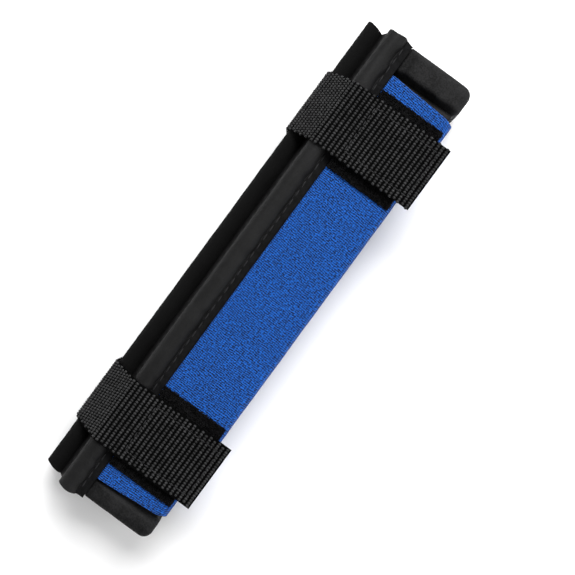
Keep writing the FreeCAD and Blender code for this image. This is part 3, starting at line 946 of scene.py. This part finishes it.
class SWINGTRAINER_OT_straps(bpy.types.Operator):
    """Weaves the two straps: the part sewn under the wrap and round the rods, and the free end."""
    bl_idname = "swing_trainer.straps"
    bl_label = "Webbing straps"

    def execute(self, context):
        pitch = context.scene.swing_trainer_sizes.rib_pitch
        half = WEBBING_THICKNESS / 2
        reach = ROD_SPACE + SLEEVE_WALL + 0.05 * MM + half
        shoulder = WEB_ANGLE + 90
        crest_z = INNER_ROD[1] + reach
        split = shoulder - 24.0
        for side in SIDES:
            back_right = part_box(f"{side}_strap_back")[1][0]
            front_low, front_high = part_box(f"{side}_strap_front")
            low_y, high_y = front_low[1], front_high[1]
            path, length = draw_path(
                (back_right, half),
                (FOLD[0], half), (FOLD, -90.0),
                (FOLD[0] - (FOLD[1] - half), OUTER_ROD[1]),
                (OUTER_ROD, shoulder - 180),
                on_circle(INNER_ROD, reach, shoulder),
                (INNER_ROD, split - shoulder),
            )
            first_rib = length - (int(length / pitch) - 0.5) * pitch
            beads, ground = weave(f"{side}_strap_side", length, low_y, high_y, first_rib)
            side_piece = join(f"{side}_strap_side_webbing", beads, ground)
            bend_along(side_piece, path)
            smooth(side_piece, 60)
            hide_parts(f"{side}_strap_back", f"{side}_strap_side")
            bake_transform(side_piece)

            path, length = draw_path(
                on_circle(INNER_ROD, reach, split),
                (INNER_ROD, 90.0 - split),
                (front_high[0] - 0.1 * MM, crest_z),
            )
            crown = math.radians(split - 90) * reach
            beads, ground = weave(f"{side}_strap_front", length, low_y, high_y, pitch / 2)
            left, right = crown + 8.5 * MM, crown + 34.4 * MM
            lower, upper = low_y + 3.6 * MM, high_y - 3.4 * MM
            lines = [
                (left, lower, left, upper), (right, lower, right, upper),
                (left, upper, right, upper), (left, lower, right, lower),
            ]
            press_in(beads, lines)
            threads = [
                stitch_line(f"{side}_box_stitch_{i}", *line, 2.6 * MM, 0.47 * MM)
                for i, line in enumerate(lines)
            ]
            front = join(f"{side}_strap_front_webbing", beads, ground, *threads)
            bend_along(front, path)
            smooth(front, 60)
            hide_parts(f"{side}_strap_front")
            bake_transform(front)
        return {"FINISHED"}


def field(piece, count_x, step_x, count_y, step_y):
    """Repeats a small shape in rows over a patch."""
    repeat(piece, count_x, (step_x, 0, 0))
    return repeat(piece, count_y, (0, step_y, 0))


class SWINGTRAINER_OT_hook_and_loop(bpy.types.Operator):
    """Makes the loop patches on the wrap and the hook tabs under the straps."""
    bl_idname = "swing_trainer.hook_and_loop"
    bl_label = "Hook and loop"

    def execute(self, context):
        for side in SIDES:
            self.loop_patch(side, context.scene.swing_trainer_sizes.pile_pitch)
            self.hook_tab(side, context.scene.swing_trainer_sizes.hook_rows)
        return {"FINISHED"}

    def backing(self, name, low, high, bottom, thickness, seed):
        width = high[0] - low[0]
        cloth = flat_cut(name, width, low[1], high[1], 0.5 * MM, 0.5 * MM)
        move(cloth, (low[0], 0, bottom + thickness / 2))
        edge = 0.35 * MM

        def ragged(place):
            """The cut edges aren't quite straight."""
            wave = math.sin(place.y * 2900 + seed) + 0.7 * math.sin(place.y * 6100 + 2 * seed)
            if place.x < low[0] + edge or place.x > high[0] - edge:
                place.x += 0.12 * MM * wave
            wave = math.sin(place.x * 3300 + seed) + 0.7 * math.sin(place.x * 5900 + 3 * seed)
            if place.y < low[1] + edge or place.y > high[1] - edge:
                place.y += 0.15 * MM * wave
            return place

        reshape(cloth, ragged)
        add_modifier(cloth, "SOLIDIFY", thickness=thickness, offset=0.0)
        return cloth

    def loop_patch(self, side, pitch):
        low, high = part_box(f"{side}_loop_patch")
        low, high = list(low), list(high)
        bend_x, bend = high[0] - 0.1 * MM, 2.6 * MM
        low[0] -= 0.6 * MM
        high[0] += 1.3 * MM

        def over_fold(place):
            """The right edge follows the wrap's rounded fold."""
            past = min(max(place.x - bend_x, 0.0), 0.8 * bend)
            place.z -= bend - math.sqrt(bend * bend - past * past)
            return place

        cloth = self.backing(f"{side}_loop_backing", low, high, low[2], TAPE_THICKNESS, 1.0)
        reshape(cloth, over_fold)
        give(cloth, "loop_pile")
        smooth(cloth)
        width, length = high[0] - low[0], high[1] - low[1]
        across, along = int(width / pitch), int(length / pitch)
        work_on()
        bpy.ops.mesh.primitive_ico_sphere_add(subdivisions=1, radius=0.5)
        bpy.ops.transform.resize(value=(pitch * 1.35, pitch * 1.35, 0.95 * MM))
        tuft = settle(bpy.context.object, f"{side}_loop_pile")
        move(tuft, (low[0] + pitch / 2, low[1] + pitch / 2, high[2] - 0.52 * MM))
        field(tuft, across, (width - pitch) / (across - 1), along, (length - pitch) / (along - 1))
        roughen(tuft, 0.62 * pitch, 5, 0.3)
        reshape(tuft, over_fold)
        give(tuft, "loop_pile")
        for piece in (cloth, tuft):
            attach(piece, "front_half")
        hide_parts(f"{side}_loop_patch")
        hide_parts(f"{side}_loop_patch")

    def hook_tab(self, side, rows):
        low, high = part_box(f"{side}_hook_tab")
        width, length = high[0] - low[0], high[1] - low[1]
        face_z = high[2] - TAPE_THICKNESS
        cloth = self.backing(f"{side}_hook_backing", low, high, face_z, TAPE_THICKNESS, 2.0)
        give(cloth, "hook_nylon")
        smooth(cloth)
        step = (length - 1.0 * MM) / (rows - 1)
        across = int((width - 1.0 * MM) / step)
        work_on()
        bpy.ops.mesh.primitive_cylinder_add(
            vertices=5, radius=0.17 * MM, depth=0.45 * MM, end_fill_type="NGON",
        )
        hook = settle(bpy.context.object, f"{side}_hooks")
        self.crook(hook)
        move(hook, (low[0] + 0.6 * MM, low[1] + 0.5 * MM, face_z - 0.2 * MM))
        field(hook, across, (width - 1.4 * MM) / (across - 1), rows, step)
        roughen(hook, 0.03 * MM, 7)
        smooth(hook, 50)
        give(hook, "hook_nylon")
        for piece in (cloth, hook):
            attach(piece, f"{side}_strap")
            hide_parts(f"{side}_hook_tab")

    def crook(self, hook):
        """Draws the free end of a stem sideways twice, into a hook that points back up."""
        open_faces(hook, lambda face: face.normal.z < -0.9)
        for x, z, size in ((0.16, -0.14, 0.85), (0.2, 0.02, 0.75), (0.08, 0.16, 0.5)):
            bpy.ops.mesh.extrude_region_move(TRANSFORM_OT_translate={"value": (x * MM, 0, z * MM)})
            bpy.ops.transform.resize(value=(size, size, size))
        close_up()


class SWINGTRAINER_OT_seams(bpy.types.Operator):
    """Sews the sleeve seam, the foot of the flap and the web between the rods."""
    bl_idname = "swing_trainer.seams"
    bl_label = "Seam stitches"

    def execute(self, context):
        pitch = context.scene.swing_trainer_sizes.stitch_pitch

        def sewn(name, x, lift, thickness):
            return stitch_line(name, x, STITCHES_START, x, STITCHES_END, pitch, lift, thickness)

        seam_z = INNER_ROD[1] + SLEEVE_WALL + 0.05 * MM
        seam = sewn("seam_stitches", SEAM_STITCH_X, seam_z, 0.5 * MM)
        foot = sewn("foot_stitches", FOOT_STITCH_X, 0.82 * MM, 0.4 * MM)
        web = sewn("web_stitches", 0.0, SLEEVE_WALL, 0.42 * MM)
        foot_x, foot_z = on_circle(OUTER_ROD, ROD_SPACE, WEB_OUT)
        top_x, top_z = on_circle(INNER_ROD, ROD_SPACE, WEB_IN)
        web.rotation_euler = (0, -math.atan2(top_z - foot_z, top_x - foot_x), 0)
        move(settle(web, "web_stitches"), ((foot_x + top_x) / 2, 0.0, (foot_z + top_z) / 2))
        for row, body in ((seam, "rod_flap"), (foot, "rear_half"), (web, "rod_flap")):
            smooth(row, 60)
            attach(row, body)
        return {"FINISHED"}


class SWINGTRAINER_OT_stage(bpy.types.Operator):
    """Lays the floor and sets the lights and the camera."""
    bl_idname = "swing_trainer.stage"
    bl_label = "Stage"

    def execute(self, context):
        scene = context.scene
        work_on()
        bpy.ops.mesh.primitive_plane_add(size=2.4, location=(0, 0, -0.05 * MM))
        floor = settle(bpy.context.object, "floor")
        paper = Finish("floor_paper", specular_ior_level=0.1)
        tone = paper.noise(paper.place(), 6.0)
        paper.colour(paper.mix(tone, (0.9, 0.9, 0.905, 1), (0.93, 0.93, 0.93, 1)))
        paper.roughness(0.9)
        floor.data.materials.append(paper.material)
        scene.world = self.studio()
        self.light("key", (-0.2, 0.76, 0.9), 0.7, 21.0)
        self.light("fill", (0.95, 0.12, 0.85), 1.3, 12.0)
        self.light("end", (-0.9, -0.4, 0.8), 1.2, 3.0)
        scene.view_settings.view_transform = "Standard"
        bpy.ops.object.camera_add(
            location=(8.15 * MM, 3.51 * MM, scene.swing_trainer_sizes.camera_height),
            rotation=(0, 0, math.radians(36.27)),
        )
        camera = bpy.context.object
        camera.name = "camera"
        camera.data.angle = 2 * math.atan(VIEW_HALF_WIDTH)
        camera.data.clip_start = 0.01
        scene.camera = camera
        return {"FINISHED"}

    def studio(self):
        """Pale walls all round, and a dimmer ceiling."""
        world = bpy.data.worlds.new("studio")
        world.use_nodes = True
        nodes, links = world.node_tree.nodes, world.node_tree.links
        ramp = nodes.new("ShaderNodeMapRange")
        ramp.interpolation_type = "SMOOTHSTEP"
        walls = {"From Min": 0.05, "From Max": 0.6, "To Min": 0.84, "To Max": 0.12}
        for socket, setting in walls.items():
            ramp.inputs[socket].default_value = setting
        axes = nodes.new("ShaderNodeSeparateXYZ")
        links.new(nodes.new("ShaderNodeTexCoord").outputs["Generated"], axes.inputs[0])
        links.new(axes.outputs["Z"], ramp.inputs["Value"])
        nodes["Background"].inputs["Color"].default_value = (1.0, 1.0, 1.0, 1.0)
        links.new(ramp.outputs[0], nodes["Background"].inputs["Strength"])
        return world

    def light(self, name, place, size, power):
        bpy.ops.object.light_add(type="AREA", location=place)
        light = bpy.context.object
        light.name = name
        light.data.shape = "SQUARE"
        light.data.size = size
        light.data.energy = power
        towards = Vector((0, 0, 0.02)) - Vector(place)
        light.rotation_euler = towards.to_track_quat("-Z", "Y").to_euler()


class SWINGTRAINER_PT_panel(bpy.types.Panel):
    """Lists the pieces in the order they are made."""
    bl_idname = "SWINGTRAINER_PT_panel"
    bl_label = "Swing Trainer"
    bl_space_type = "VIEW_3D"
    bl_region_type = "UI"
    bl_category = "Swing Trainer"

    def draw(self, context):
        for group in (context.scene.swing_trainer_sizes, context.scene.swing_trainer_look):
            for key in group.__annotations__:
                self.layout.prop(group, key)
        for step in STEPS:
            self.layout.operator(step.bl_idname)


STEPS = (
    SWINGTRAINER_OT_pads,
    SWINGTRAINER_OT_wrap,
    SWINGTRAINER_OT_rods,
    SWINGTRAINER_OT_rod_sleeves,
    SWINGTRAINER_OT_grip_liners,
    SWINGTRAINER_OT_straps,
    SWINGTRAINER_OT_hook_and_loop,
    SWINGTRAINER_OT_seams,
    SWINGTRAINER_OT_stage,
)
CLASSES = (SwingTrainerSizes, SwingTrainerLook, *STEPS, SWINGTRAINER_PT_panel)


def register():
    for cls in CLASSES:
        bpy.utils.register_class(cls)
    bpy.types.Scene.swing_trainer_sizes = PointerProperty(type=SwingTrainerSizes)
    bpy.types.Scene.swing_trainer_look = PointerProperty(type=SwingTrainerLook)


def unregister():
    del bpy.types.Scene.swing_trainer_look
    del bpy.types.Scene.swing_trainer_sizes
    for cls in reversed(CLASSES):
        bpy.utils.unregister_class(cls)


def main():
    register()
    for step in STEPS:
        group, name = step.bl_idname.split(".")
        getattr(getattr(bpy.ops, group), name)()
    bpy.context.view_layer.update()


if __name__ == "__main__":
    main()
